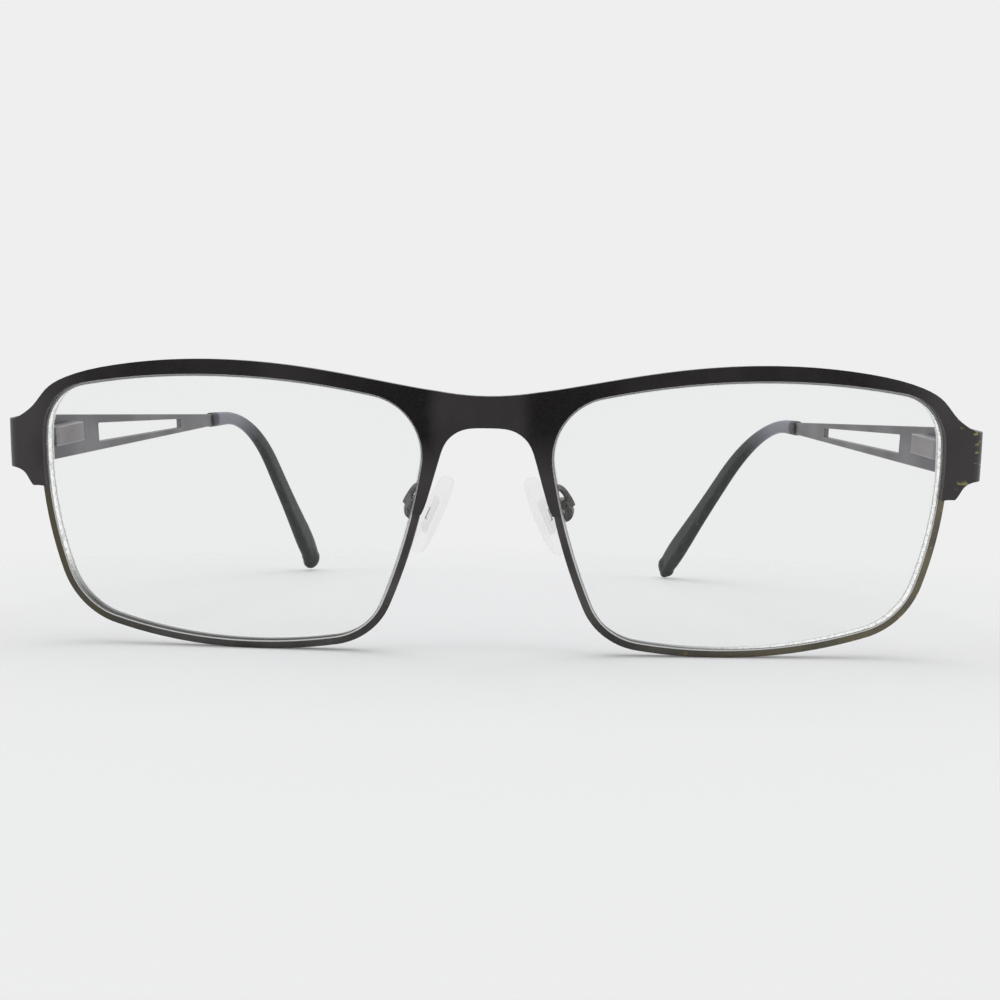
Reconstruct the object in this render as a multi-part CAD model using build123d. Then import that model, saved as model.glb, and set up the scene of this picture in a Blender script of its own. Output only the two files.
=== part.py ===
from build123d import *
import math
import os

# Rectangular metal spectacles with a full rim, a brow plate, spring hinges and nose pads.
# Lengths are in millimetres and angles in degrees.
# The front is drawn in its own frame: X towards the wearer's left, Y to the rear, Z up.
# Its origin lies midway between the two lens boxes. The finished pair is then leaned
# until the rims and the temple tips stand on the floor, Z = 0.

# Lens boxes: the width and height of each opening and the distance between the two
lens_width = 54.9
lens_height = 38.2
lens_distance = 17.6
nasal_top_radius = 8.6
temporal_top_radius = 7.6
temporal_bottom_radius = 9.6
nasal_bottom_radius = 9.0

# Curve of the front seen from above, and the wings bent back at its sides
front_curve_radius = 125.0
bridge_radius = 24.0
crease_x = 6.8
wing_reach = 6.6
wing_bend_radius = 3.0
wing_length = 6.65

# Brow plate with the bridge and the two wings. Heights are taken from the top of the lens box.
plate_thickness = 1.0
brow_rise = 2.0
brow_top_shift = 2.75
bridge_drop = 2.5
bridge_height = 4.25
nasal_end_reach = 0.2
nasal_end_rise = 0.3
wing_drop = 7.3
wing_height = 6.9
lobe_drop = 2.35
lobe_reach = 0.9

# Rims and their locks on the outer side
rim_width = 1.0
rim_depth = 1.9
rim_slit = 0.3
lock_width = 1.9
lock_height = 2.1
lock_depth = 4.65
lock_screw_radius = 0.47
lock_head_radius = 0.8
lock_head_height = 0.5

# Lenses: level with the front of the rims, a little thicker at the edge than in the middle
lens_set_back = 1.05
lens_thickness = 1.6
lens_back_radius = 110.0
optic_inset = 3.25
optic_rise = 1.0
bevel_depth = 0.35
bevel_width = 0.8
fit_clearance = 0.03

# Hinge: a screw through two front knuckles and the tongue of the temple
hinge_inset = 2.7
hinge_back_inset = 1.6
knuckle_radius = 1.3
ear_height = 1.15
tongue_height = 1.5
knuckle_gap = 0.05
leaf_width = 0.7
leaf_base_depth = 1.7
screw_radius = 0.67
screw_clearance = 0.03
screw_head_radius = 1.05
screw_head_height = 0.5
screw_slot = 0.25

# Spring hinge in its box on the inner face of the temple
spring_travel = 1.2
spring_wire = 0.22
spring_radius = 0.58
spring_turns = 5
spring_slack = 0.3
box_width = 2.6
box_height = 2.9
box_length = 7.9
box_gap = 2.5
box_shoulder = 0.6
tongue_width = 1.2
tongue_length = 5.0
rod_radius = 0.35
rod_head_radius = 0.6
rod_head_length = 0.8
chamber_radius = 0.8
slide_clearance = 0.06

# Temples: a tapered plate with a long window and a core wire inside the tip
temple_thickness = 1.1
temple_gap = 0.6
temple_inset = 0.2
temple_length = 66.6
temple_drop = 0.1
temple_front_height = 7.3
temple_fall = 6.8
temple_end_height = 2.4
temple_corner_radius = 0.5
window_start = 17.2
window_length = 32.4
window_front_bar = 1.42
window_back_bar = 0.95
window_corner_radius = 0.3
core_radius = 0.55
toe_in_angle = 4.7

# Temple tips: sleeves bent down behind the ear and swung inwards, the left one further
tip_overlap = 2.0
ear_bend_reach = 23.3
ear_bend_radius = 34.0
ear_bend_angle = 51.2
tip_end_length = 54.5
tip_swing_angle = 20.5
tip_skew_angle = 10.5
tip_thickness = 2.4
tip_end_height = 6.4

# Nose pads and the wires that carry them
pad_length = 12.4
pad_width = 7.2
pad_thickness = 2.0
pad_inset = 0.5
pad_set_back = 6.9
pad_drop = 1.5
pad_tilt_angle = 24.0
pad_splay_angle = 10.0
pad_wire_radius = 0.5
pad_wire_inset = 0.1
pad_wire_sink = 0.4
pad_wire_start_z = 3.3
lug_thickness = 1.3
lug_radius = 0.75
lug_reach = 2.0
cup_wall = 0.4
cup_gap = 0.08
cup_length = 3.4
cup_corner_radius = 1.3
pad_screw_radius = 0.3
pad_screw_head_radius = 0.55
pad_screw_head_height = 0.3

overrun = 2.0

# Corners and crowns of a lens opening as shares of half its box, from its centre
corner_shares = [(-1.028, 0.772), (0.976, 0.847), (0.847, -0.795), (-0.715, -0.905)]
crown_shares = [(-0.035, 0.998), (0.987, 0.026), (0.064, -0.994), (-0.934, -0.058)]

# Brow line: shares of the way from the bridge to the brow's top, across and up
brow_inner_shares = [(0.31, 0.31), (0.62, 0.78)]
# Brow line beyond its top: shares of the way out to the side and down to the wing's top
brow_outer_shares = [(0.43, 0.124), (0.655, 0.309), (0.77, 0.519), (0.84, 0.771), (0.893, 0.897)]
# Edge of the nose arch: shares of the way from the middle to the plate's end, across and down
arch_shares = [(0.43, 0.045), (0.61, 0.155), (0.75, 0.41), (0.84, 0.645)]
# Lower edge of the wing: shares of the way from the lobe to the side, across and up
lobe_shares = [(0.2, 0.0), (0.32, 0.37), (0.44, 0.74), (0.62, 0.95)]

# Sections of a temple tip: share of its length, of its thickness and of its end height
tip_shares = [(0.0, 0.85, 0.5), (0.2, 0.8, 0.45), (0.35, 0.85, 0.56), (0.55, 1.0, 0.74), (0.8, 1.2, 0.95),
              (0.94, 1.25, 0.96), (1.0, 0.8, 0.7)]
tip_corner_share = 0.42
core_share = 0.85

# Route of a pad wire: shares of the way from the rim to the cup, across, to the rear and up
pad_wire_shares = [(0.13, 0.36, -0.05), (0.5, 0.78, 0.125), (0.79, 0.965, 0.565)]

# Other proportions, each a share of the size that it is multiplied by
curve_centre_share = 0.7
box_corner_share = 0.25
pad_edge_share = 0.42
insert_thickness_share = 0.25
insert_width_share = 0.45
insert_length_share = 0.4

lens_centre_x = lens_distance / 2 + lens_width / 2
lens_side_x = lens_distance / 2 + lens_width
rim_side_x = lens_side_x + rim_width
front_half_width = lens_side_x + wing_reach
curve_centre_x = curve_centre_share * lens_centre_x
curve_centre = Vector(curve_centre_x, front_curve_radius)
curve_axis = Axis((0, front_curve_radius, 0), (1, 0, 0))


def front_depth(x):
    """How far back the lens curve lies at a given X, on the level of the origin."""
    return front_curve_radius - math.sqrt(front_curve_radius**2 - (x - curve_centre_x) ** 2)


brow_top_x = lens_centre_x + brow_top_shift
brow_top_z = lens_height / 2 + brow_rise
bridge_top_z = lens_height / 2 - bridge_drop
wing_top_z = lens_height / 2 - wing_drop
wing_bottom_z = wing_top_z - wing_height
wing_back_y = front_depth(front_half_width) + wing_length
lock_back_y = front_depth(rim_side_x) + lock_depth
hinge_x = front_half_width - hinge_inset
hinge_y = wing_back_y - hinge_back_inset
hinge_z = wing_top_z - wing_height / 2
knuckle_half_height = tongue_height / 2 + knuckle_gap + ear_height
spring_length = spring_travel + spring_turns * spring_wire + spring_slack
rod_length = 2 * box_shoulder + spring_length + rod_head_length
temple_outer_x = front_half_width - temple_inset
temple_inner_x = temple_outer_x - temple_thickness
temple_front_y = wing_back_y + temple_gap
temple_end_y = temple_front_y + temple_length
temple_front_top_z = wing_top_z - temple_drop
temple_front_bottom_z = temple_front_top_z - temple_front_height
temple_end_top_z = temple_front_top_z - temple_fall
temple_end_bottom_z = temple_end_top_z - temple_end_height
pad_centre = Vector(lens_distance / 2 - pad_inset, plate_thickness + rim_depth + pad_set_back, -pad_drop)
lug_eye = pad_thickness / 2 + lug_reach


def round_edge(centre, start, end):
    """Arc about a centre from one point to another, the short way."""
    middle = (start - centre) + (end - centre)
    middle = centre + middle.normalized() * (start - centre).length
    return ThreePointArc(start, middle, end)


def meeting(centre, radius, other, other_radius, near):
    """The one of the two points where two circles meet that lies nearer to a given point."""
    across = other - centre
    reach = across.length
    along = (radius**2 - other_radius**2 + reach**2) / (2 * reach)
    height = math.sqrt(radius**2 - along**2)
    line = across.normalized()
    side = Vector(-line.Y, line.X)
    points = [centre + line * along + side * height, centre + line * along - side * height]
    return min(points, key=lambda point: (point - near).length)


def front_line(depth):
    """Half of the front seen from above, at a depth behind its face, from the middle to the side."""
    bridge_sag = bridge_radius - math.sqrt(bridge_radius**2 - crease_x**2)
    bridge_centre = Vector(0, front_depth(crease_x) - bridge_sag + bridge_radius)
    bend_x = front_half_width - wing_bend_radius
    bend_run = math.sqrt((front_curve_radius - wing_bend_radius) ** 2 - (bend_x - curve_centre_x) ** 2)
    bend_centre = Vector(bend_x, front_curve_radius - bend_run)
    middle = bridge_centre - Vector(0, bridge_radius - depth)
    crease = meeting(bridge_centre, bridge_radius - depth, curve_centre, front_curve_radius - depth,
                     Vector(crease_x, depth))
    outward = (bend_centre - curve_centre).normalized()
    bend_start = curve_centre + outward * (front_curve_radius - depth)
    bend_end = bend_centre + Vector(wing_bend_radius - depth, 0)
    side_end = Vector(front_half_width - depth, wing_back_y + overrun)
    edges = [
        round_edge(bridge_centre, middle, crease),
        round_edge(curve_centre, crease, bend_start),
        round_edge(bend_centre, bend_start, bend_end),
        Line(bend_end, side_end),
    ]
    return edges, middle, side_end


def turned(face):
    """A plan-view face turned about the axis of the front's curve."""
    half_turn = math.degrees(math.asin((brow_top_z + overrun) / (front_curve_radius - wing_back_y - overrun)))
    return revolve(face.rotate(curve_axis, -half_turn), curve_axis, 2 * half_turn)


def front_layer(front, back):
    """The curved layer of the front between two depths, on the wearer's left."""
    near_edges, near_middle, near_end = front_line(front)
    far_edges, far_middle, far_end = front_line(back)
    closing = [Line(near_end, far_end), Line(far_middle, near_middle)]
    return turned(make_face(near_edges + far_edges + closing))


def space_behind(depth):
    """All the space behind a depth of the front, inside the wing, on the wearer's left."""
    edges, middle, side_end = front_line(depth)
    corner = Vector(0, side_end.Y)
    closing = [Line(side_end, corner), Line(corner, middle)]
    return turned(make_face(edges + closing))


def front_prism(face, back=wing_back_y):
    """A face drawn in front view, carried to the rear."""
    return extrude(Plane.XZ.offset(overrun) * face, amount=back + overrun, dir=(0, 1, 0))


def ball(radius, centre=curve_centre):
    return Pos(centre.X, centre.Y, centre.Z) * Sphere(radius)


def lens_point(share):
    return Vector(lens_centre_x + share[0] * lens_width / 2, share[1] * lens_height / 2)


def lens_outline(grow=0):
    """The left lens opening in front view, grown by some width: four crowned sides, rounded corners."""
    corners = [lens_point(share) for share in corner_shares]
    crowns = [lens_point(share) for share in crown_shares]
    sides = [ThreePointArc(start, crown, end)
             for start, crown, end in zip(corners, crowns, corners[1:] + corners[:1])]
    circles = [(side.arc_center, side.radius + grow) for side in sides]
    grown = [meeting(*circles[i - 1], *circles[i], corners[i]) for i in range(len(corners))]
    edges = []
    for start, crown, end, (centre, radius) in zip(grown, crowns, grown[1:] + grown[:1], circles):
        edges.append(ThreePointArc(start, centre + (crown - centre).normalized() * radius, end))
    outline = make_face(edges)
    radii = [nasal_top_radius, temporal_top_radius, temporal_bottom_radius, nasal_bottom_radius]
    for corner, radius in zip(grown, radii):
        vertex = outline.vertices().sort_by_distance(corner)[0]
        outline = fillet(vertex, radius + grow)
    return outline


def brow_outline():
    """Half of the brow plate in front view, without the lens opening."""
    side_x = front_half_width + overrun
    middle_top = Vector(0, bridge_top_z)
    brow_top = Vector(brow_top_x, brow_top_z)
    wing_top = Vector(front_half_width, wing_top_z)
    wing_bottom = Vector(front_half_width, wing_bottom_z)
    lobe = Vector(lens_side_x + lobe_reach, wing_bottom_z - lobe_drop)
    nasal_end = Vector(lens_distance / 2 + nasal_end_reach, nasal_end_rise)
    middle_under = Vector(0, bridge_top_z - bridge_height)

    def between(start, end, shares):
        return [Vector(start.X + (end.X - start.X) * across, start.Y + (end.Y - start.Y) * up)
                for across, up in shares]

    rise = between(middle_top, brow_top, brow_inner_shares)
    fall = between(brow_top, wing_top, brow_outer_shares)
    top = Spline([middle_top, *rise, brow_top, *fall, wing_top], tangents=[(1, 0), (1, 0)])
    lower = Spline([wing_bottom, *reversed(between(lobe, wing_bottom, lobe_shares)), lobe],
                   tangents=[(-1, 0), (-1, 0)])
    arch = Spline([nasal_end, *reversed(between(middle_under, nasal_end, arch_shares)), middle_under],
                  tangents=[(-1, 2), (-1, 0)])
    side_top = Vector(side_x, wing_top_z)
    side_bottom = Vector(side_x, wing_bottom_z)
    lines = [Line(wing_top, side_top), Line(side_top, side_bottom), Line(side_bottom, wing_bottom),
             Line(lobe, nasal_end), Line(middle_under, middle_top)]
    return make_face([top, lower, arch, *lines])


def brow_plate():
    """The brow plate: one curved sheet with the bridge, nose arms and wings."""
    half = front_layer(0, plate_thickness) & front_prism(brow_outline())
    half -= front_prism(lens_outline())
    return half + mirror(half, about=Plane.YZ)


def rim():
    """The eye wire behind the plate, grooved for the lens and slit at the lock."""
    ring = front_layer(plate_thickness, plate_thickness + rim_depth)
    ring &= front_prism(lens_outline(rim_width))
    ring -= front_prism(lens_outline())
    ring -= bevel(fit_clearance)
    slit = Pos(lens_side_x, 0, hinge_z) * Box(lens_width / 2, lens_width, rim_slit)
    return ring - slit


def bevel(grow=0):
    """The ridge round a lens, or with some growth the groove that holds it."""
    middle = plate_thickness + rim_depth / 2
    wide = bevel_width / 2 + grow
    ridge = front_prism(lens_outline(bevel_depth + grow))
    ridge &= ball(front_curve_radius - middle + wide) - ball(front_curve_radius - middle - wide)
    return ridge


def lens():
    """A lens with a ground edge, hollowed more at the back than it bulges in front."""
    front_radius = front_curve_radius - lens_set_back
    optic_x = lens_centre_x - optic_inset
    optic_axis = (Vector(optic_x, front_depth(optic_x), optic_rise) - curve_centre).normalized()
    back_centre = curve_centre + optic_axis * (front_radius - lens_thickness - lens_back_radius)
    blank = front_prism(lens_outline(-fit_clearance))
    return ((blank & ball(front_radius)) + bevel()) - ball(lens_back_radius, back_centre)


def lock_block(side):
    """Half of a rim lock, above or below the slit, set against the rim and the back of the wing."""
    block = Pos(rim_side_x, 0, hinge_z + side * (rim_slit + lock_height) / 2) * Box(
        2 * lock_width, 2 * lock_back_y, lock_height)
    block &= space_behind(plate_thickness)
    block -= front_prism(lens_outline(rim_width))
    return block - lock_screw(screw_clearance)


def lock_screw(grow=0):
    """The screw that closes a rim round its lens, put in from below."""
    reach = rim_slit / 2 + lock_height
    shank = Cylinder(lock_screw_radius + grow, 2 * reach)
    head = Pos(0, 0, -reach) * Cylinder(lock_head_radius, lock_head_height,
                                        align=(Align.CENTER, Align.CENTER, Align.MAX))
    slot_cut = Pos(0, 0, -reach - lock_head_height) * Box(2 * lock_head_radius, screw_slot, screw_slot)
    screw = shank if grow else shank + head - slot_cut
    screw_y = lock_back_y - lock_width / 2 - lock_screw_radius / 2
    return Pos(rim_side_x + lock_width / 2, screw_y, hinge_z) * screw


def hinge_leaf():
    """The fixed half of a hinge: a base behind the wing and two knuckles."""
    plate_inside = front_half_width - plate_thickness
    ears = Cylinder(knuckle_radius, 2 * knuckle_half_height)
    arm_width = plate_inside - hinge_x + leaf_width
    ears += Pos(-leaf_width, -hinge_y, -knuckle_half_height) * Box(
        arm_width, hinge_y, 2 * knuckle_half_height, align=(Align.MIN, Align.MIN, Align.MIN))
    slot_height = tongue_height + 2 * knuckle_gap
    ears -= Pos(0, -leaf_base_depth, 0) * Box(
        4 * knuckle_radius, 4 * knuckle_radius, slot_height, align=(Align.CENTER, Align.MIN, Align.CENTER))
    ears -= Cylinder(screw_radius + screw_clearance, 2 * knuckle_half_height)
    leaf = Pos(hinge_x, hinge_y, hinge_z) * ears
    return leaf & space_behind(plate_thickness)


def hinge_screw():
    """The slotted screw that the tongue of the temple turns on."""
    shank = Cylinder(screw_radius, 2 * knuckle_half_height)
    head = Pos(0, 0, knuckle_half_height) * Cylinder(
        screw_head_radius, screw_head_height, align=(Align.CENTER, Align.CENTER, Align.MIN))
    slot_cut = Pos(0, 0, knuckle_half_height + screw_head_height) * Box(
        2 * screw_head_radius, screw_slot, screw_slot)
    return Pos(hinge_x, hinge_y, hinge_z) * (shank + head - slot_cut)


def along_temple(shape):
    """A shape drawn from the hinge's centre with its Z along the temple, set in place."""
    return Pos(hinge_x, hinge_y, hinge_z) * Rot(-90, 0, 0) * shape


def hinge_tongue():
    """The sliding tongue: a knuckle, a flat neck and a rod with a head for the spring."""
    knuckle = Cylinder(knuckle_radius, tongue_height)
    neck = Box(tongue_width, tongue_length, tongue_height, align=(Align.CENTER, Align.MIN, Align.CENTER))
    hole = Cylinder(screw_radius + screw_clearance, tongue_height)
    flat = Pos(hinge_x, hinge_y, hinge_z) * (knuckle + neck - hole)
    rod = Pos(0, 0, tongue_length) * Cylinder(
        rod_radius, rod_length, align=(Align.CENTER, Align.CENTER, Align.MIN))
    head = Pos(0, 0, tongue_length + rod_length - rod_head_length) * Cylinder(
        rod_head_radius, rod_head_length, align=(Align.CENTER, Align.CENTER, Align.MIN))
    return flat + along_temple(rod + head)


def hinge_box():
    """The box on the temple: a slot for the neck, a shoulder and a chamber for the spring."""
    slot_back = tongue_length + box_shoulder
    chamber_front = slot_back + box_shoulder
    chamber_length = box_gap + box_length - box_shoulder - chamber_front
    body = Pos(hinge_x, hinge_y + box_gap, hinge_z) * Box(
        box_width, box_length, box_height, align=(Align.CENTER, Align.MIN, Align.CENTER))
    body = fillet(body.edges().filter_by(Axis.Z).sort_by(Axis.X)[0:2], box_width * box_corner_share)
    slot = Pos(hinge_x, hinge_y, hinge_z) * Box(
        tongue_width + 2 * slide_clearance, slot_back, tongue_height + 2 * slide_clearance,
        align=(Align.CENTER, Align.MIN, Align.CENTER))
    bore = Cylinder(
        rod_radius + slide_clearance, chamber_front, align=(Align.CENTER, Align.CENTER, Align.MIN))
    chamber = Pos(0, 0, chamber_front) * Cylinder(
        chamber_radius, chamber_length, align=(Align.CENTER, Align.CENTER, Align.MIN))
    return body - slot - along_temple(bore + chamber)


def hinge_spring():
    """The coil between the shoulder of the box and the head of the rod."""
    start = tongue_length + 2 * box_shoulder + spring_wire / 2
    height = spring_length - spring_wire
    coil = Helix(pitch=height / spring_turns, height=height, radius=spring_radius)
    section = Plane(coil @ 0, z_dir=coil % 0) * Circle(spring_wire / 2)
    return along_temple(Pos(0, 0, start) * sweep(section, coil))


def temple_side():
    """The temple plate in side view, with its long window. Across is Y and up is Z."""
    top_slope = -temple_fall / temple_length
    bottom_slope = (temple_end_bottom_z - temple_front_bottom_z) / temple_length
    window_front = temple_front_y + window_start
    window_back = window_front + window_length

    def edge_point(y, bar, upper):
        if upper:
            return (y, temple_front_top_z + top_slope * (y - temple_front_y) - bar)
        return (y, temple_front_bottom_z + bottom_slope * (y - temple_front_y) + bar)

    plate = make_face(Polyline(
        edge_point(temple_front_y, 0, False), edge_point(temple_end_y, 0, False),
        edge_point(temple_end_y, 0, True), edge_point(temple_front_y, 0, True), close=True))
    plate = fillet(plate.vertices(), temple_corner_radius)
    window = make_face(Polyline(
        edge_point(window_front, window_front_bar, False), edge_point(window_back, window_back_bar, False),
        edge_point(window_back, window_back_bar, True), edge_point(window_front, window_front_bar, True),
        close=True))
    return plate - fillet(window.vertices(), window_corner_radius)


def tip_path(swing):
    """Middle line of a temple tip: straight, then bent down behind the ear and swung inwards."""
    start_z = (temple_end_top_z + temple_end_bottom_z) / 2
    fall = math.atan2(start_z - (temple_front_top_z + temple_front_bottom_z) / 2, temple_length)
    down = fall - math.radians(ear_bend_angle)
    inwards = math.radians(swing)
    straight = Vector(0, math.cos(fall), math.sin(fall))
    bent = Vector(-math.sin(inwards) * math.cos(down), math.cos(inwards) * math.cos(down), math.sin(down))
    half_turn = math.radians(straight.get_angle(bent)) / 2
    tangent_length = ear_bend_radius * math.tan(half_turn)
    end = Vector(temple_outer_x - temple_thickness / 2, temple_end_y, start_z)
    corner = end + straight * ear_bend_reach
    bend_start = corner - straight * tangent_length
    bend_end = corner + bent * tangent_length
    bend_centre = corner + (bent - straight).normalized() * (ear_bend_radius / math.cos(half_turn))
    return Wire([Line(end - straight * tip_overlap, bend_start),
                 round_edge(bend_centre, bend_start, bend_end),
                 Line(bend_end, corner + bent * tip_end_length)])


def across_tip(path, share):
    """The plane square to a tip's path at a share of its length, X across its thickness."""
    along = path % share
    across = Vector(1, 0, 0) - along * along.X
    return Plane(path @ share, x_dir=across, z_dir=along)


def core_wire(swing):
    """The wire inside a tip, as far as a share of the tip's length."""
    path = tip_path(swing).trim(0, core_share)
    return sweep(across_tip(path, 0) * Circle(core_radius), path)


def temple_plate():
    """The flat temple with its long window."""
    return extrude(Plane.YZ.offset(temple_inner_x) * temple_side(), amount=temple_thickness)


def temple(swing):
    """The temple: the windowed plate and the core wire that the tip is pushed over."""
    return temple_plate() + core_wire(swing)


def temple_tip(swing):
    """The sleeve on the end of the temple, thin at the collar and broad at its end."""
    path = tip_path(swing)
    sections = []
    for along, thick, high in tip_shares:
        width = tip_thickness * thick
        height = tip_end_height * high
        corner = min(width, height) * tip_corner_share
        sections.append(across_tip(path, along) * RectangleRounded(width, height, corner))
    return sweep(sections, path, multisection=True) - core_wire(swing) - temple_plate()


def turn_temple(shape):
    """A temple piece turned inwards about the hinge's screw to where it rests."""
    return shape.rotate(Axis((hinge_x, hinge_y, 0), (0, 0, 1)), toe_in_angle)


def on_pad(shape):
    """A shape drawn on the left pad, X away from the nose, Y to the rear and Z up it, set in place."""
    return Pos(pad_centre) * Rot(0, -pad_tilt_angle, 0) * Rot(0, 0, -pad_splay_angle) * shape


def nose_pad():
    """A soft oval pad with rounded edges."""
    outline = Ellipse(pad_width / 2, pad_length / 2)
    body = extrude(Plane.YZ * outline, amount=pad_thickness / 2, both=True)
    body = fillet(body.edges(), pad_thickness * pad_edge_share)
    return on_pad(body) - pad_lug(fit_clearance)


def pad_lug(grow=0):
    """The lug moulded into a pad, with a plate inside it and an eye for the screw."""
    plate_thick = pad_thickness * insert_thickness_share
    plate_wide = pad_width * insert_width_share
    plate_long = pad_length * insert_length_share
    inside = Pos(plate_thick / 2, 0, 0) * Box(
        plate_thick + 2 * grow, plate_wide + 2 * grow, plate_long + 2 * grow)
    stem = Box(lug_eye, lug_thickness + 2 * grow, 2 * lug_radius + 2 * grow,
               align=(Align.MIN, Align.CENTER, Align.CENTER))
    eye = Pos(lug_eye, 0, 0) * Rot(90, 0, 0) * Cylinder(lug_radius + grow, lug_thickness + 2 * grow)
    hole = Pos(lug_eye, 0, 0) * Rot(90, 0, 0) * Cylinder(
        pad_screw_radius + screw_clearance, 2 * lug_thickness)
    return on_pad(inside + stem + eye - hole)


def pad_cup():
    """The small cup that holds a lug between two walls, rounded on its outer side."""
    depth = lug_radius + cup_gap + cup_wall
    outside = lug_thickness + 2 * (cup_gap + cup_wall)
    front = Pos(lug_eye - lug_radius / 2, 0, 0)
    cup = front * Box(
        depth + lug_radius / 2, outside, cup_length, align=(Align.MIN, Align.CENTER, Align.CENTER))
    cup = fillet(cup.edges().filter_by(Axis.Y).sort_by(Axis.X)[-2:], cup_corner_radius)
    room = front * Box(
        depth + lug_radius / 2 - cup_wall, lug_thickness + 2 * cup_gap, 2 * (lug_radius + cup_gap),
        align=(Align.MIN, Align.CENTER, Align.CENTER))
    hole = Pos(lug_eye, 0, 0) * Rot(90, 0, 0) * Cylinder(pad_screw_radius + screw_clearance, 2 * outside)
    return on_pad(cup - room - hole)


def pad_screw():
    """The screw across a pad's cup, with its head at the rear."""
    half = lug_thickness / 2 + cup_gap + cup_wall
    shank = Cylinder(pad_screw_radius, 2 * half)
    head = Pos(0, 0, half) * Cylinder(
        pad_screw_head_radius, pad_screw_head_height, align=(Align.CENTER, Align.CENTER, Align.MIN))
    return on_pad(Pos(lug_eye, 0, 0) * Rot(-90, 0, 0) * (shank + head))


def pad_arm():
    """The wire from the rim, bent down to a cup on its end."""
    cup_reach = lug_eye + lug_radius + cup_gap + pad_wire_radius
    cup_back = on_pad(Vertex(cup_reach, 0, 0)).center()
    down = on_pad(Vertex(cup_reach, 0, -cup_length)).center() - cup_back
    start_x = lens_distance / 2 + pad_wire_inset
    rim_back = front_depth(start_x) + plate_thickness + rim_depth
    start = Vector(start_x, rim_back - pad_wire_sink, pad_wire_start_z)
    way = cup_back - start
    route = [start + Vector(way.X * across, way.Y * back, way.Z * up) for across, back, up in pad_wire_shares]
    path = Spline([start, *route, cup_back], tangents=[(0, 1, 0), down.normalized()])
    wire = sweep(Plane(path @ 0, z_dir=path % 0) * Circle(pad_wire_radius), path)
    return wire - front_layer(0, plate_thickness + rim_depth) + pad_cup()


def left_pieces():
    """Every piece of the wearer's left side that stays with the front."""
    return {
        "rim": rim(),
        "lens": lens(),
        "rim_lock_upper": lock_block(1),
        "rim_lock_lower": lock_block(-1),
        "rim_screw": lock_screw(),
        "hinge_leaf": hinge_leaf(),
        "hinge_screw": hinge_screw(),
        "pad_arm": pad_arm(),
        "pad_screw": pad_screw(),
        "nose_pad": nose_pad(),
        "pad_insert": pad_lug(),
    }


def temple_pieces(swing):
    """Every piece of a temple, turned to where it rests, with its tip swung inwards by an angle."""
    pieces = {
        "hinge_tongue": hinge_tongue(),
        "hinge_box": hinge_box(),
        "hinge_spring": hinge_spring(),
        "temple": temple(swing),
        "temple_tip": temple_tip(swing),
    }
    return {name: turn_temple(shape) for name, shape in pieces.items()}


def all_pieces():
    """Both sides: the right one is the left one mirrored, apart from the swing of its tip."""
    pieces = {"front_plate": brow_plate()}
    for name, shape in left_pieces().items():
        pieces["left_" + name] = shape
        pieces["right_" + name] = mirror(shape, about=Plane.YZ)
    for name, shape in temple_pieces(tip_swing_angle + tip_skew_angle).items():
        pieces["left_" + name] = shape
    for name, shape in temple_pieces(tip_swing_angle - tip_skew_angle).items():
        pieces["right_" + name] = mirror(shape, about=Plane.YZ)
    return pieces


def lowest(shapes, lean):
    """Height of the lowest point of some shapes, leaned about the X axis."""
    return min(shape.rotate(Axis.X, lean).bounding_box().min.Z for shape in shapes)


def standing_lean(pieces):
    """The lean that puts the rims and the tips on one level."""
    rims = [pieces["left_rim"], pieces["right_rim"]]
    tips = [pieces["left_temple_tip"], pieces["right_temple_tip"]]
    lean = 0.0
    reach = tips[0].bounding_box().max.Y
    for _ in range(6):
        rise = lowest(rims, lean) - lowest(tips, lean)
        lean += math.degrees(math.atan2(rise, reach))
    return lean


def stand(pieces):
    """The pieces leaned, put on the floor and centred over the origin."""
    lean = standing_lean(pieces)
    leaned = {name: shape.rotate(Axis.X, lean) for name, shape in pieces.items()}
    boxes = [shape.bounding_box() for shape in leaned.values()]
    low = [min(tuple(box.min)[i] for box in boxes) for i in range(3)]
    high = [max(tuple(box.max)[i] for box in boxes) for i in range(3)]
    shift = Vector(-(low[0] + high[0]) / 2, -(low[1] + high[1]) / 2, -low[2])
    hinge = Vector(hinge_x, hinge_y, hinge_z).rotate(Axis.X, lean) + shift
    print("lean", round(lean, 4), "shift", shift, "left hinge", hinge)
    return {name: Pos(shift) * shape for name, shape in leaned.items()}


def main():
    os.makedirs("parts", exist_ok=True)
    for name, shape in stand(all_pieces()).items():
        export_step(shape, f"parts/{name}.step")


main()
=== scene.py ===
import math

import bmesh
import bpy
import numpy as np
from mathutils import Matrix, Vector

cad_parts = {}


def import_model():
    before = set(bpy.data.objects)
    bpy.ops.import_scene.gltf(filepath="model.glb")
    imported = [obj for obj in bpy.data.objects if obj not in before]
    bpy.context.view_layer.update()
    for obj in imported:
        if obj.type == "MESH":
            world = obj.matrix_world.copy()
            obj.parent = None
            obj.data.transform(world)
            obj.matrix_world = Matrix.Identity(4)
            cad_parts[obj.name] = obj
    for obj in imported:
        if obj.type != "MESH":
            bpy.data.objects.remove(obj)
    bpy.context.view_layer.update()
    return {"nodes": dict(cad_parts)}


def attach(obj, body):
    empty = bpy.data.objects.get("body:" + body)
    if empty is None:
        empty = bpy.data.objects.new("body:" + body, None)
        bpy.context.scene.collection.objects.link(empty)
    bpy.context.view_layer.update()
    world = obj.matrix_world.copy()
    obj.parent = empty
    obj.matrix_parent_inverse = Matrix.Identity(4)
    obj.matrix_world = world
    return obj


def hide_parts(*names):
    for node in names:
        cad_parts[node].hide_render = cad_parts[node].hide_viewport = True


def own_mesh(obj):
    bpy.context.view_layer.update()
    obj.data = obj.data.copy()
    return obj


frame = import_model()

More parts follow.
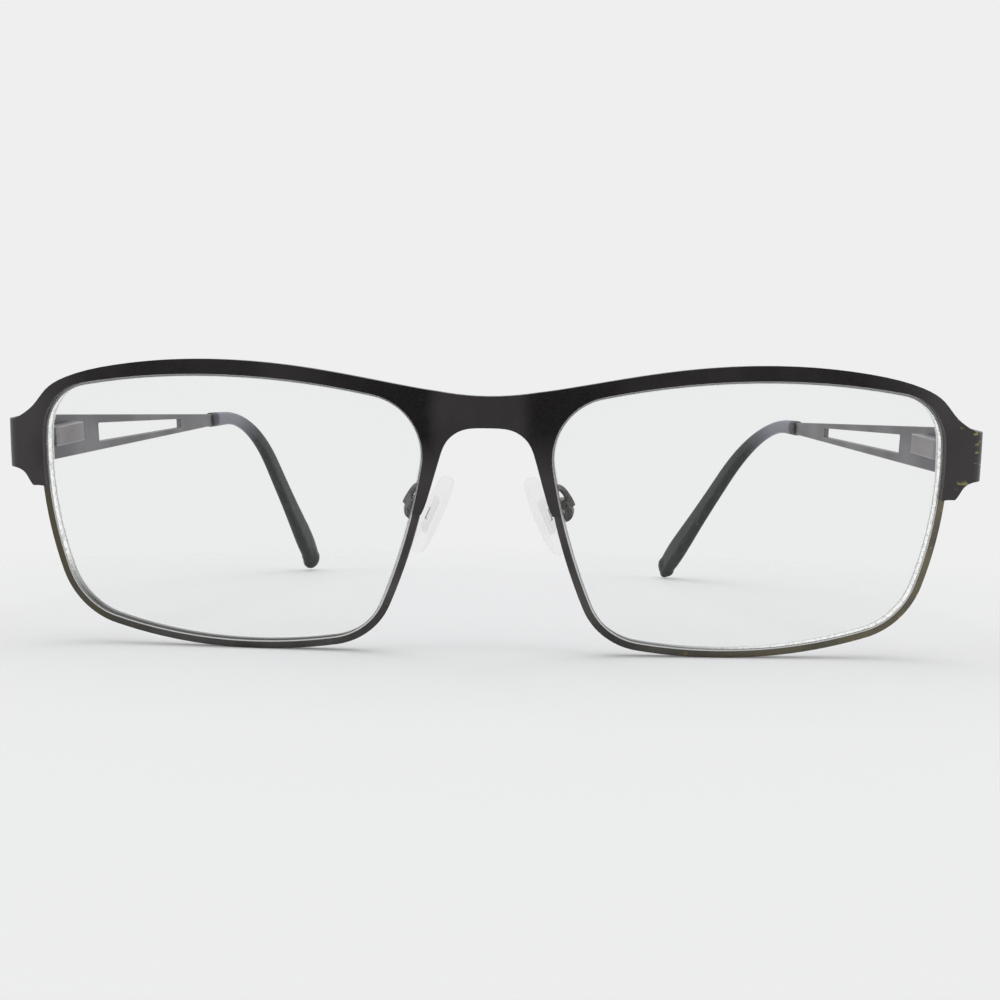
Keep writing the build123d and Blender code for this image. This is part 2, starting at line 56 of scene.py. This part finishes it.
# Looks of a pair of rectangular metal spectacles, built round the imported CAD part.
# Lengths are in metres. +X is the wearer's left, +Y runs from the lenses to the temple tips.
# A pair of heights or distances is a range: where an effect starts, and where it is full.

# Camera, at the place and turn that the outlines in the photograph gave. Angles in degrees.
CAMERA_PLACE = (0.00499, -0.20109, 0.023035)
CAMERA_YAW = 1.574
CAMERA_ROLL = 0.95
CAMERA_PITCH = 0.282
CAMERA_LENS = 34.625
CAMERA_SENSOR = 36.0
CAMERA_SHIFT = (0.0032, -0.0131)
CAMERA_CLIP = (0.005, 20.0)

# Backdrop: a round floor that fades into the even background
FLOOR_RADIUS = 1.2
FLOOR_CORNERS = 96
FLOOR_FADE = (0.05, 0.20)
FLOOR_ROUGHNESS = 0.9
FLOOR_COLOUR = (0.83, 0.83, 0.83, 1)
BACKGROUND_COLOUR = (0.86, 0.862, 0.862, 1)

# Light: one wide soft box overhead, one on each side, and an even world. Place, size and power.
WORLD_COLOUR = (0.97, 0.98, 1.0, 1)
WORLD_STRENGTH = 0.55
LAMPS = {
    "overhead": ((0.0, 0.05, 0.75), 0.9, 3.0),
    "left_side": ((0.7, -0.3, 0.35), 0.5, 0.8),
    "right_side": ((-0.7, -0.3, 0.35), 0.5, 0.8),
}
LAMP_AIM = (0.0, -0.02, 0.02)

# The middle span of a noise, and its softer and wider spans
NOISE_SPAN = (0.3, 0.7)
BLOTCH_SPAN = (0.35, 0.65)
HAZE_SPAN = (0.4, 0.6)

# Brushed metal: scales of its streaks and blotches, how strongly they show, and the streaks' depth
METAL = 0.9
STREAK_SCALE = 2200
STREAK_SPAN = (0.45, 0.62)
STREAK_SHARE = 0.2
STREAK_DEPTH = 0.000012
STREAK_BUMP = 0.5
STREAK_GLOSS = 0.06
STREAK_DULL = 0.08
BLOTCH_SCALE = 140
BLOTCH_SHARE = 0.12

# Brow plate from its middle outwards, a painted reflection and painted shade: place across, and how light
# it is from 0 to 1.
# The bridge is painted light, the creases beside it are painted dark as shade, and the wings are painted
# light as if they turned towards the light.
BROW_MIDDLE = -0.0013
BROW_PAINTED_REFLECTION = (
    (0.0, 0.62), (0.005, 0.62), (0.008, 0.0), (0.012, 0.0),
    (0.025, 0.4), (0.050, 0.2), (0.065, 0.95),
)
# Heights between which the nose arms grow lighter downwards
BROW_ARMS = (0.0310, 0.0245)

# Worn rims: how far out the wear starts and is full, its patches, and bright specks in it
LEFT_WEAR = (0.020, 0.050)
RIGHT_WEAR = (0.046, 0.058)
PATCH_SCALE = 95
PATCH_SPAN = (0.36, 0.52)
SPECK_SCALE = 900
SPECK_SPAN = (0.66, 0.70)
# Worn marks on the left wing: how far out they lie, and their noise
WING_WEAR = (0.0640, 0.0665)
WING_MARK_SCALE = 520
WING_MARK_STRETCH = (1, 1, 2.5)
WING_MARK_SPAN = (0.61, 0.67)
# Rubbed edges of the temples and boxes, lighter as worn metal and as a painted highlight: how far the
# rubbing and highlight reach, and how they show
EDGE_WEAR_AND_HIGHLIGHT = 0.00025
EDGE_WEAR_AND_HIGHLIGHT_SPAN = (0.01, 0.10)
EDGE_WEAR_AND_HIGHLIGHT_SHARE = 0.8

# Tip plastic: ranges along the temple of its grey collar and dark ring, its dust and its scratches
COLLAR_FADE = (0.034, 0.022)
RING_FADE = (0.0112, 0.0100)
TIP_BLOTCH_SCALE = 120
DUST_SCALE = 2900
DUST_SPAN = (0.655, 0.715)
DUST_SHARE = 0.65
SCRATCH_SCALE = 900
SCRATCH_STRETCH = (6, 1, 6)
SCRATCH_DEPTH = 0.00002
SCRATCH_BUMP = 0.4
TIP_ROUGHNESS = (0.30, 0.46)
TIP_IOR = 1.40
TIP_SPECULAR = 0.28

# Lens: how its thin reflection grows with the slant
LENS_IOR = 1.5
LENS_ROUGHNESS = 0.02
LENS_SLANT = (0.35, 1.0)
LENS_FILM = (0.02, 0.6)
# Ground lens edge: the centre of the lens curve and the reach of the edge's faces from it
CURVE_CENTRE = (0.025375, 0.052576, 0.042194)
EDGE_NEAR = 0.12250
EDGE_FAR = 0.12388
# How much a wall face turns away from the front, and how strongly such a wall shows
EDGE_WALL_TURN = (0.75, 0.55)
EDGE_WALL_COVER = 0.5
# Painted shade: the ground edge darkens between these heights and distances out, and shows with these
# covers
EDGE_HEIGHTS = (0.013, 0.006)
EDGE_SHADE_END = (0.040, 0.018)
EDGE_COVER = (0.90, 0.65)
# A painted glow of the ground edge, and the edge's roughness
EDGE_PAINTED_GLOW = 0.34
EDGE_ROUGHNESS = 0.6
FROST_SCALE = 3000
FROST_SPAN = (0.38, 0.50)
# Lines along the border of a lens face, a painted white highlight and a painted grey shade: their reach,
# and how far the rounded normal turns in each
BORDER_WIDTH = 0.00065
BORDER_SAMPLES = 16
WHITE_LINE = (0.018, 0.030)
WHITE_LINE_SHARE = 0.85
WHITE_LINE_ROUGHNESS = 0.4
GREY_LINE = (0.0015, 0.006)
GREY_LINE_ROUGHNESS = 0.5

# Clear rubber: its haze, how that shows, and the slant at which its sheen grows
HAZE_SCALE = 420
HAZE_DEPTH = 0.00006
HAZE_BUMP = 0.4
HAZE_ROUGHNESS = 0.12
RUBBER_IOR = 1.41
RUBBER_SLANT = (0.45, 1.0)

# Moulded tips: two heights that give the end's direction, and half sizes of the blunt end, along,
# wide and thin
TIP_HEIGHTS = (0.004, 0.010)
TIP_SLICE = 0.0005
TIP_END_SIZE = {"left": (0.0025, 0.0030, 0.0018), "right": (0.0026, 0.0031, 0.0022)}
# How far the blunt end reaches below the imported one, and the steps in which it thins out upwards
TIP_DROP = {"left": 0.0, "right": 0.0008}
TIP_THIN = 0.0013
TIP_STEPS = {"left": 1, "right": 6}
TIP_STRIDE = 0.0020
# Grain of the mesh and rounds of smoothing, for the tips and for the brazed pad arms
TIP_GRAIN = 0.00025
TIP_ROUNDS = 24
ARM_GRAIN = 0.00014
ARM_ROUNDS = 16
SMOOTH_FACTOR = 0.5

# Colours
# The brow plate's dark and light ends, spread by blotches, streaks and its painted reflection and shade
BROW_DARK = (0.009, 0.008, 0.008, 1)
BROW_LIGHT = (0.050, 0.046, 0.046, 1)
RIM_DARK = (0.050, 0.048, 0.045, 1)
RIM_LIGHT = (0.10, 0.097, 0.092, 1)
WORN_OLIVE = (0.165, 0.148, 0.100, 1)
WORN_BROWN = (0.085, 0.075, 0.048, 1)
BRASS = (0.42, 0.27, 0.10, 1)
WING_MARKS = (0.22, 0.21, 0.09, 1)
# Temples and boxes; their edge colours are rubbed wear with a painted highlight
TEMPLE_DARK = (0.138, 0.132, 0.141, 1)
TEMPLE_LIGHT = (0.208, 0.199, 0.212, 1)
TEMPLE_EDGE = (0.36, 0.37, 0.30, 1)
BOX_DARK = (0.215, 0.200, 0.208, 1)
BOX_LIGHT = (0.310, 0.290, 0.298, 1)
BOX_EDGE = (0.62, 0.60, 0.61, 1)
STEEL_DARK = (0.26, 0.26, 0.26, 1)
STEEL_LIGHT = (0.42, 0.42, 0.42, 1)
WIRE_DARK = (0.07, 0.066, 0.062, 1)
WIRE_LIGHT = (0.15, 0.145, 0.14, 1)
TIP_DARK = (0.004, 0.006, 0.006, 1)
TIP_GREEN = (0.010, 0.015, 0.014, 1)
TIP_RING = (0.03, 0.03, 0.033, 1)
TIP_COLLAR = (0.20, 0.195, 0.235, 1)
DUST = (0.42, 0.45, 0.46, 1)
LENS_TINT = (0.988, 0.994, 0.991, 1)
LENS_WHITE = (0.95, 0.96, 0.96, 1)
# Lens ground edge: its painted shade low down, its grain and its white
FROST_PAINTED_SHADE = (0.22, 0.22, 0.21, 1)
FROST_SHADE = (0.60, 0.60, 0.58, 1)
FROST = (0.92, 0.92, 0.91, 1)
# The painted grey shade line along a lens face's border
BORDER_GREY = (0.04, 0.04, 0.04, 1)
RUBBER_WHITE = (0.88, 0.89, 0.89, 1)
RUBBER_CLEAR = (0.998, 0.998, 0.998, 1)
PAD_TINT = (0.984, 0.986, 0.982, 1)
INSERT_TINT = (1.0, 1.0, 1.0, 1)


class Surface:
    """A material with helpers that add and join its nodes."""

    def __init__(self, name):
        self.material = bpy.data.materials.new(name)
        self.material.use_nodes = True
        self.tree = self.material.node_tree
        self.tree.nodes.clear()
        self.output = self.node("ShaderNodeOutputMaterial")
        self.place = self.node("ShaderNodeTexCoord").outputs["Object"]

    def node(self, kind, **settings):
        made = self.tree.nodes.new(kind)
        for key, value in settings.items():
            setattr(made, key, value)
        return made

    def join(self, source, target):
        self.tree.links.new(source, target)

    def shader(self, colour=None, **values):
        """A Principled shader with plain values on its sockets."""
        made = self.node("ShaderNodeBsdfPrincipled")
        if colour:
            made.inputs["Base Color"].default_value = colour
        for key, value in values.items():
            made.inputs[key.replace("_", " ")].default_value = value
        return made

    def noise(self, scale, detail, stretch=(1, 1, 1)):
        """Noise over the object's place, stretched along its axes."""
        mapping = self.node("ShaderNodeMapping")
        mapping.inputs["Scale"].default_value = stretch
        self.join(self.place, mapping.inputs["Vector"])
        made = self.node("ShaderNodeTexNoise")
        made.inputs["Scale"].default_value = scale
        made.inputs["Detail"].default_value = detail
        self.join(mapping.outputs["Vector"], made.inputs["Vector"])
        return made.outputs["Fac"]

    def ramp(self, value, span, start=0.0, end=1.0):
        """A value taken from one span to another."""
        made = self.node("ShaderNodeMapRange")
        made.inputs["From Min"].default_value = span[0]
        made.inputs["From Max"].default_value = span[1]
        made.inputs["To Min"].default_value = start
        made.inputs["To Max"].default_value = end
        self.join(value, made.inputs["Value"])
        return made.outputs["Result"]

    def steps(self, value, stops):
        """A value between 0 and 1 read off a line of stops, each a place and a height."""
        made = self.node("ShaderNodeFloatCurve")
        line = made.mapping.curves[0]
        for place, height in stops[1:-1]:
            line.points.new(place, height)
        for point, (place, height) in zip(line.points, stops):
            point.location = (place, height)
            point.handle_type = "AUTO_CLAMPED"
        made.mapping.update()
        self.join(value, made.inputs["Value"])
        return made.outputs["Value"]

    def part(self, axis, vector=None):
        """One axis of a vector, or of the object's place."""
        split = self.node("ShaderNodeSeparateXYZ")
        self.join(vector or self.place, split.inputs["Vector"])
        return split.outputs[axis]

    def math(self, kind, first, second=0.0):
        """Two values, each a number or a socket, put together by a Math node."""
        made = self.node("ShaderNodeMath", operation=kind)
        for socket, value in zip(made.inputs, (first, second)):
            if isinstance(value, float):
                socket.default_value = value
            else:
                self.join(value, socket)
        return made.outputs["Value"]

    def size(self, value):
        """A value without its sign."""
        return self.math("ABSOLUTE", value)

    def blend(self, share, first, second):
        """Two colours mixed by a share. Each may be a colour or a socket."""
        made = self.node("ShaderNodeMix", data_type="RGBA")
        self.join(share, made.inputs["Factor"])
        for socket, colour in zip((made.inputs[6], made.inputs[7]), (first, second)):
            if isinstance(colour, tuple):
                socket.default_value = colour
            else:
                self.join(colour, socket)
        return made.outputs[2]

    def layer(self, share, under, over):
        """Two shaders mixed by a share."""
        made = self.node("ShaderNodeMixShader")
        self.join(share, made.inputs["Fac"])
        self.join(under, made.inputs[1])
        self.join(over, made.inputs[2])
        return made.outputs["Shader"]

    def see_through(self):
        return self.node("ShaderNodeBsdfTransparent")

    def slant(self):
        """How far a face turns away from the eye, from 0 to 1."""
        return self.node("ShaderNodeLayerWeight").outputs["Facing"]

    def bump(self, height, depth, strength):
        """A normal from a height, with a depth in metres."""
        made = self.node("ShaderNodeBump")
        made.inputs["Distance"].default_value = depth
        made.inputs["Strength"].default_value = strength
        self.join(height, made.inputs["Height"])
        return made.outputs["Normal"]

    def edge(self, normal, width, samples=8):
        """How far the rounded normal leaves the true one, from 0 inside a face to 0.3 at its border."""
        rounded = self.node("ShaderNodeBevel", samples=samples)
        rounded.inputs["Radius"].default_value = width
        facing = self.node("ShaderNodeVectorMath", operation="DOT_PRODUCT")
        self.join(rounded.outputs["Normal"], facing.inputs[0])
        self.join(normal, facing.inputs[1])
        return self.math("SUBTRACT", 1.0, facing.outputs["Value"])

    def finish(self, shader):
        self.join(shader, self.output.inputs["Surface"])
        return self.material


def brow_painted_reflection_and_blotches(surface, blotches):
    """How light the brow plate is: its painted reflection and shade across, and lighter nose arms, with
    soft blotches.
    """
    widest = BROW_PAINTED_REFLECTION[-1][0]
    across = surface.size(surface.math("SUBTRACT", surface.part("X"), BROW_MIDDLE))
    across = surface.ramp(across, (0.0, widest))
    share = surface.steps(across, [(place / widest, height) for place, height in BROW_PAINTED_REFLECTION])
    share = surface.math("MAXIMUM", share, surface.ramp(surface.part("Z"), BROW_ARMS))
    return surface.math("ADD", share, surface.ramp(blotches, BLOTCH_SPAN, -BLOTCH_SHARE, BLOTCH_SHARE))


def brushed(name, dark, light, roughness, stretch=(1, 1, 1),
            worn=None, specks=None, wear=None, wing_wear=None, edges=None):
    """Brushed metal with fine streaks and soft blotches. The last five are colours of wear, and where wear
    lies;
    the edges colour is also a painted highlight. wing_wear is given for the brow plate alone, which also
    takes its painted reflection and shade across."""
    surface = Surface(name)
    streaks = surface.noise(STREAK_SCALE, 4, stretch)
    blotches = surface.noise(BLOTCH_SCALE, 5)
    # On the brow plate the share holds its painted reflection and shade across, with blotches
    share = brow_painted_reflection_and_blotches(surface, blotches) if wing_wear else surface.ramp(blotches, BLOTCH_SPAN)
    colour = surface.blend(share, dark, light)
    colour = surface.blend(surface.ramp(streaks, STREAK_SPAN, 0.0, STREAK_SHARE), colour, light)
    if wing_wear:
        marks = surface.ramp(surface.noise(WING_MARK_SCALE, 3, WING_MARK_STRETCH), WING_MARK_SPAN)
        marks = surface.math("MULTIPLY", marks, surface.ramp(surface.part("X"), WING_WEAR))
        colour = surface.blend(marks, colour, wing_wear)
    if worn:
        patches = surface.ramp(surface.noise(PATCH_SCALE, 4), PATCH_SPAN)
        outwards = surface.ramp(surface.size(surface.part("X")), wear)
        colour = surface.blend(surface.math("MULTIPLY", patches, outwards), colour, worn)
    if specks:
        dots = surface.ramp(surface.noise(SPECK_SCALE, 2), SPECK_SPAN)
        colour = surface.blend(surface.math("MULTIPLY", dots, outwards), colour, specks)
    if edges:
        # Edges lighter as rubbed wear and as a painted highlight
        normal = surface.node("ShaderNodeNewGeometry").outputs["True Normal"]
        rubbed_and_highlit = surface.ramp(surface.edge(normal, EDGE_WEAR_AND_HIGHLIGHT), EDGE_WEAR_AND_HIGHLIGHT_SPAN, 0.0, EDGE_WEAR_AND_HIGHLIGHT_SHARE)
        colour = surface.blend(rubbed_and_highlit, colour, edges)
    shader = surface.shader(Metallic=METAL)
    surface.join(colour, shader.inputs["Base Color"])
    grip = surface.ramp(streaks, NOISE_SPAN, roughness - STREAK_GLOSS, roughness + STREAK_DULL)
    surface.join(grip, shader.inputs["Roughness"])
    surface.join(surface.bump(streaks, STREAK_DEPTH, STREAK_BUMP), shader.inputs["Normal"])
    return surface.finish(shader.outputs["BSDF"])


def tip_plastic(name):
    """Dark satin plastic, greyer at the collar, with fine scratches and dust."""
    surface = Surface(name)
    along = surface.part("Y")
    blotches = surface.noise(TIP_BLOTCH_SCALE, 5)
    colour = surface.blend(surface.ramp(blotches, BLOTCH_SPAN), TIP_DARK, TIP_GREEN)
    colour = surface.blend(surface.ramp(along, COLLAR_FADE), colour, TIP_COLLAR)
    colour = surface.blend(surface.ramp(along, RING_FADE), colour, TIP_RING)
    dust = surface.ramp(surface.noise(DUST_SCALE, 2), DUST_SPAN, 0.0, DUST_SHARE)
    colour = surface.blend(dust, colour, DUST)
    scratches = surface.noise(SCRATCH_SCALE, 4, SCRATCH_STRETCH)
    shader = surface.shader(Metallic=0.0, IOR=TIP_IOR, Specular_IOR_Level=TIP_SPECULAR)
    surface.join(colour, shader.inputs["Base Color"])
    surface.join(surface.ramp(scratches, NOISE_SPAN, *TIP_ROUGHNESS), shader.inputs["Roughness"])
    surface.join(surface.bump(scratches, SCRATCH_DEPTH, SCRATCH_BUMP), shader.inputs["Normal"])
    return surface.finish(shader.outputs["BSDF"])


def ground_faces(surface, normal):
    """1 on the ridge that is ground on a lens, less on its other edge walls, and 0 on its two faces."""
    wall = surface.ramp(surface.size(surface.part("Y", normal)), EDGE_WALL_TURN)
    mirrored = surface.node("ShaderNodeCombineXYZ")
    surface.join(surface.size(surface.part("X")), mirrored.inputs["X"])
    surface.join(surface.part("Y"), mirrored.inputs["Y"])
    surface.join(surface.part("Z"), mirrored.inputs["Z"])
    reach = surface.node("ShaderNodeVectorMath", operation="DISTANCE")
    surface.join(mirrored.outputs["Vector"], reach.inputs[0])
    reach.inputs[1].default_value = CURVE_CENTRE
    ridge = surface.math("MULTIPLY", surface.math("GREATER_THAN", reach.outputs["Value"], EDGE_NEAR),
                         surface.math("LESS_THAN", reach.outputs["Value"], EDGE_FAR))
    return surface.math("MAXIMUM", surface.math("MULTIPLY", wall, EDGE_WALL_COVER), ridge)


def lens_plastic(name):
    """Clear lens: see-through with a thin reflection, a frosted ground edge with a painted glow and painted
    shade, and painted border lines.
    """
    surface = Surface(name)
    clear = surface.see_through()
    clear.inputs["Color"].default_value = LENS_TINT
    gloss = surface.shader(LENS_WHITE, Metallic=0.0, Roughness=LENS_ROUGHNESS, IOR=LENS_IOR)
    film = surface.ramp(surface.slant(), LENS_SLANT, *LENS_FILM)
    whole = surface.layer(film, clear.outputs["BSDF"], gloss.outputs["BSDF"])

    # The ground edge: white, with a painted glow standing for light from inside the lens, and grey low down
    # as painted shade of the rim
    geometry = surface.node("ShaderNodeNewGeometry")
    normal = geometry.outputs["True Normal"]
    low_painted_shade = surface.math("MULTIPLY", surface.ramp(surface.part("Z"), EDGE_HEIGHTS),
                       surface.ramp(surface.part("X"), EDGE_SHADE_END))
    grain = surface.blend(surface.ramp(surface.noise(FROST_SCALE, 3), FROST_SPAN), FROST_SHADE, FROST)
    frost = surface.shader(Metallic=0.0, Roughness=EDGE_ROUGHNESS, Emission_Strength=EDGE_PAINTED_GLOW)
    tint = surface.blend(low_painted_shade, grain, FROST_PAINTED_SHADE)
    surface.join(tint, frost.inputs["Base Color"])
    surface.join(tint, frost.inputs["Emission Color"])
    ground = ground_faces(surface, normal)
    frosted = surface.math("MULTIPLY", ground, surface.ramp(low_painted_shade, (0.0, 1.0), *EDGE_COVER))

    # Along a face's border the rounded normal leaves the true one: a painted white highlight line with a
    # painted grey shade line inside
    hidden = surface.math("MAXIMUM", ground, geometry.outputs["Backfacing"])
    border = surface.edge(normal, BORDER_WIDTH, BORDER_SAMPLES)
    border = surface.math("MULTIPLY", border, surface.math("SUBTRACT", 1.0, hidden))
    white_line = surface.ramp(border, WHITE_LINE, 0.0, WHITE_LINE_SHARE)
    grey_line = surface.ramp(border, GREY_LINE)
    painted_highlight = surface.shader(FROST, Metallic=0.0, Roughness=WHITE_LINE_ROUGHNESS)
    painted_shade_line = surface.shader(BORDER_GREY, Metallic=0.0, Roughness=GREY_LINE_ROUGHNESS)
    for share, coat in ((grey_line, painted_shade_line), (white_line, painted_highlight), (frosted, frost)):
        whole = surface.layer(share, whole, coat.outputs["BSDF"])
    return surface.finish(whole)


def clear_rubber(name, roughness, tint, milk, sheen):
    """Clear silicone or hard clear plastic: see-through, with a soft sheen that grows at its edges.
    milk is the sheen's share face on, and sheen its share edge on."""
    surface = Surface(name)
    clear = surface.see_through()
    haze = surface.noise(HAZE_SCALE, 4)
    surface.join(surface.blend(surface.ramp(haze, HAZE_SPAN), tint, RUBBER_CLEAR),
                 clear.inputs["Color"])
    skin = surface.shader(RUBBER_WHITE, Metallic=0.0, IOR=RUBBER_IOR)
    grip = surface.ramp(haze, NOISE_SPAN, roughness, roughness + HAZE_ROUGHNESS)
    surface.join(grip, skin.inputs["Roughness"])
    surface.join(surface.bump(haze, HAZE_DEPTH, HAZE_BUMP), skin.inputs["Normal"])
    share = surface.ramp(surface.slant(), RUBBER_SLANT, milk, sheen)
    return surface.finish(surface.layer(share, clear.outputs["BSDF"], skin.outputs["BSDF"]))


def floor_material():
    """Pale paper that fades away from the middle of the floor."""
    surface = Surface("pale_paper")
    paper = surface.shader(FLOOR_COLOUR, Metallic=0.0, Roughness=FLOOR_ROUGHNESS)
    distance = surface.node("ShaderNodeVectorMath", operation="LENGTH")
    surface.join(surface.place, distance.inputs[0])
    fade = surface.ramp(distance.outputs["Value"], FLOOR_FADE)
    return surface.finish(surface.layer(fade, paper.outputs["BSDF"], surface.see_through().outputs["BSDF"]))


def node_form(node):
    """The mesh of a CAD node, to be changed freely."""
    form = bmesh.new()
    form.from_mesh(frame["nodes"][node].data)
    return form


def settle(name, form, grain, rounds):
    """A mesh with an even grain from a rough one, smoothed a number of rounds."""
    rough = bpy.data.meshes.new(name)
    form.to_mesh(rough)
    form.free()
    piece = bpy.data.objects.new(name, rough)
    bpy.context.scene.collection.objects.link(piece)
    remesh = piece.modifiers.new("remesh", "REMESH")
    remesh.mode = "VOXEL"
    remesh.voxel_size = grain
    smooth = piece.modifiers.new("smooth", "SMOOTH")
    smooth.factor = SMOOTH_FACTOR
    smooth.iterations = rounds
    view = bpy.context.evaluated_depsgraph_get()
    settled = bpy.data.meshes.new_from_object(piece.evaluated_get(view))
    bpy.data.objects.remove(piece)
    return settled


def places(mesh):
    """The places of a mesh's points as rows."""
    rows = np.empty(len(mesh.vertices) * 3)
    mesh.vertices.foreach_get("co", rows)
    return rows.reshape(-1, 3)


def place_piece(name, mesh, material, body, node):
    """A piece from a mesh, riding on a body in place of a node."""
    mesh.materials.clear()
    mesh.materials.append(material)
    piece = bpy.data.objects.new(name, mesh)
    bpy.context.scene.collection.objects.link(piece)
    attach(piece, body)
    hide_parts(node)
    return piece


def coil(side, material):
    """The hinge spring, a copy of the imported one riding on the temple body."""
    node = f"{side}_hinge_spring"
    mesh = frame["nodes"][node].data.copy()
    piece = place_piece(f"{side}_coil", mesh, material, f"{side}_temple_body", node)
    points = places(mesh)
    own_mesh(piece)


def soft_arm(side, material):
    """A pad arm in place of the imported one. Its wire and cup run together as in a brazed joint."""
    node = f"{side}_pad_arm"
    settled = settle(f"{side}_arm_rough", node_form(node), ARM_GRAIN, ARM_ROUNDS)
    settled.shade_smooth()
    place_piece(f"{side}_arm_brazed", settled, material, "front", node)


def soft_tip(side, material):
    """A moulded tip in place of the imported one: its corners worn round and its end blunt."""
    node = f"{side}_temple_tip"
    points = places(settle(f"{side}_tip_even", node_form(node), TIP_GRAIN, 1))
    heights = points[:, 2]
    lowest = heights.min()
    middles = [points[abs(heights - lowest - height) < TIP_SLICE].mean(axis=0) for height in TIP_HEIGHTS]
    along = Vector(middles[0] - middles[1]).normalized()
    thin = along.cross(Vector((0, 0, 1))).normalized()
    axes = (along, thin.cross(along), thin)
    length, width, thickness = TIP_END_SIZE[side]
    drop = TIP_DROP[side]
    depths = (points - middles[0]) @ np.array(along)
    end = points[abs(depths - depths.max() + length) < TIP_SLICE].mean(axis=0)
    centre = Vector(end) - Vector((0, 0, drop))
    form = node_form(node)
    for step in range(TIP_STEPS[side]):
        share = step / TIP_STEPS[side]
        sizes = (length, width, thickness + (TIP_THIN - thickness) * share)
        turn = Matrix([axis * size for axis, size in zip(axes, sizes)]).transposed().to_4x4()
        shift = Matrix.Translation(centre - along * (TIP_STRIDE * step) + Vector((0, 0, drop * share)))
        bmesh.ops.create_icosphere(form, subdivisions=4, radius=1.0, matrix=shift @ turn)
    settled = settle(f"{side}_tip_rough", form, TIP_GRAIN, TIP_ROUNDS)
    for vertex in settled.vertices:
        vertex.co.z = max(vertex.co.z, lowest - drop)
    settled.shade_smooth()
    place_piece(f"{side}_tip_sleeve", settled, material, f"{side}_temple_body", node)


def dress(node, material):
    """Gives every slot of a CAD node one material."""
    for slot in frame["nodes"][node].material_slots:
        slot.material = material


def dress_all():
    """Makes all materials, dresses the CAD nodes in them and adds the pieces that replace some."""
    brow = brushed("brow_metal", BROW_DARK, BROW_LIGHT, 0.34, (1, 1, 5), wing_wear=WING_MARKS)
    rims = {
        "left": brushed("rim_worn_metal", RIM_DARK, RIM_LIGHT, 0.38, (1, 1, 3),
                        worn=WORN_OLIVE, specks=BRASS, wear=LEFT_WEAR),
        "right": brushed("rim_metal", RIM_DARK, RIM_LIGHT, 0.36, (1, 1, 3),
                         worn=WORN_BROWN, wear=RIGHT_WEAR),
    }
    temple = brushed("temple_metal", TEMPLE_DARK, TEMPLE_LIGHT, 0.42, (4, 0.2, 4), edges=TEMPLE_EDGE)
    box = brushed("box_metal", BOX_DARK, BOX_LIGHT, 0.36, (3, 0.3, 3), edges=BOX_EDGE)
    steel = brushed("plain_steel", STEEL_DARK, STEEL_LIGHT, 0.28, (3, 3, 1))
    wire = brushed("wire_metal", WIRE_DARK, WIRE_LIGHT, 0.32)
    tip = tip_plastic("tip_plastic")
    lens = lens_plastic("lens_plastic")
    pad = clear_rubber("pad_silicone", 0.10, PAD_TINT, milk=0.05, sheen=0.22)
    insert = clear_rubber("insert_plastic", 0.05, INSERT_TINT, milk=0.0, sheen=0.03)

    dress("front_plate", brow)
    pieces = {
        "lens": lens, "rim_lock_upper": wire, "rim_lock_lower": wire, "rim_screw": steel,
        "hinge_leaf": wire, "hinge_screw": steel, "pad_screw": steel, "nose_pad": pad,
        "pad_insert": insert, "hinge_tongue": steel, "hinge_box": box, "temple": temple,
    }
    for side in ("left", "right"):
        dress(f"{side}_rim", rims[side])
        for piece, material in pieces.items():
            dress(f"{side}_{piece}", material)
        soft_tip(side, tip)
        soft_arm(side, wire)
        coil(side, steel)


def floor():
    """The round floor that the glasses stand on."""
    bpy.ops.mesh.primitive_circle_add(vertices=FLOOR_CORNERS, radius=FLOOR_RADIUS, fill_type="NGON")
    sheet = bpy.context.object
    sheet.name = "floor"
    sheet.data.materials.append(floor_material())


def lamp(name, place, size, power):
    """A square soft box aimed at the glasses."""
    data = bpy.data.lights.new(name, "AREA")
    data.size = size
    data.energy = power
    made = bpy.data.objects.new(name, data)
    made.location = place
    made.rotation_euler = (made.location - Vector(LAMP_AIM)).to_track_quat("Z", "Y").to_euler()
    bpy.context.scene.collection.objects.link(made)


def world():
    """An even light all round. The camera and reflections see the pale background instead."""
    studio = bpy.data.worlds.new("studio")
    studio.use_nodes = True
    tree = studio.node_tree
    lighting = tree.nodes["Background"]
    lighting.inputs["Color"].default_value = WORLD_COLOUR
    lighting.inputs["Strength"].default_value = WORLD_STRENGTH
    seen = tree.nodes.new("ShaderNodeBackground")
    seen.inputs["Color"].default_value = BACKGROUND_COLOUR
    rays = tree.nodes.new("ShaderNodeLightPath")
    total = rays.outputs["Is Camera Ray"]
    for kind in ("Is Glossy Ray", "Is Transmission Ray"):
        more = tree.nodes.new("ShaderNodeMath")
        more.operation = "MAXIMUM"
        tree.links.new(total, more.inputs[0])
        tree.links.new(rays.outputs[kind], more.inputs[1])
        total = more.outputs[0]
    mixed = tree.nodes.new("ShaderNodeMixShader")
    tree.links.new(total, mixed.inputs["Fac"])
    tree.links.new(lighting.outputs["Background"], mixed.inputs[1])
    tree.links.new(seen.outputs["Background"], mixed.inputs[2])
    tree.links.new(mixed.outputs["Shader"], tree.nodes["World Output"].inputs["Surface"])
    bpy.context.scene.world = studio


def camera():
    """The camera that took the photograph, upright but for its small roll."""
    data = bpy.data.cameras.new("photo_view")
    data.sensor_fit = "HORIZONTAL"
    data.sensor_width = CAMERA_SENSOR
    data.lens = CAMERA_LENS
    data.shift_x, data.shift_y = CAMERA_SHIFT
    data.clip_start, data.clip_end = CAMERA_CLIP
    made = bpy.data.objects.new("photo_view", data)
    made.location = CAMERA_PLACE
    turn = (90 + CAMERA_PITCH, -CAMERA_ROLL, CAMERA_YAW)
    made.rotation_euler = [math.radians(angle) for angle in turn]
    bpy.context.scene.collection.objects.link(made)
    bpy.context.scene.camera = made


dress_all()
floor()
world()
for lamp_name, (lamp_place, lamp_size, lamp_power) in LAMPS.items():
    lamp(lamp_name, lamp_place, lamp_size, lamp_power)
camera()
bpy.context.scene.view_settings.view_transform = "Standard"
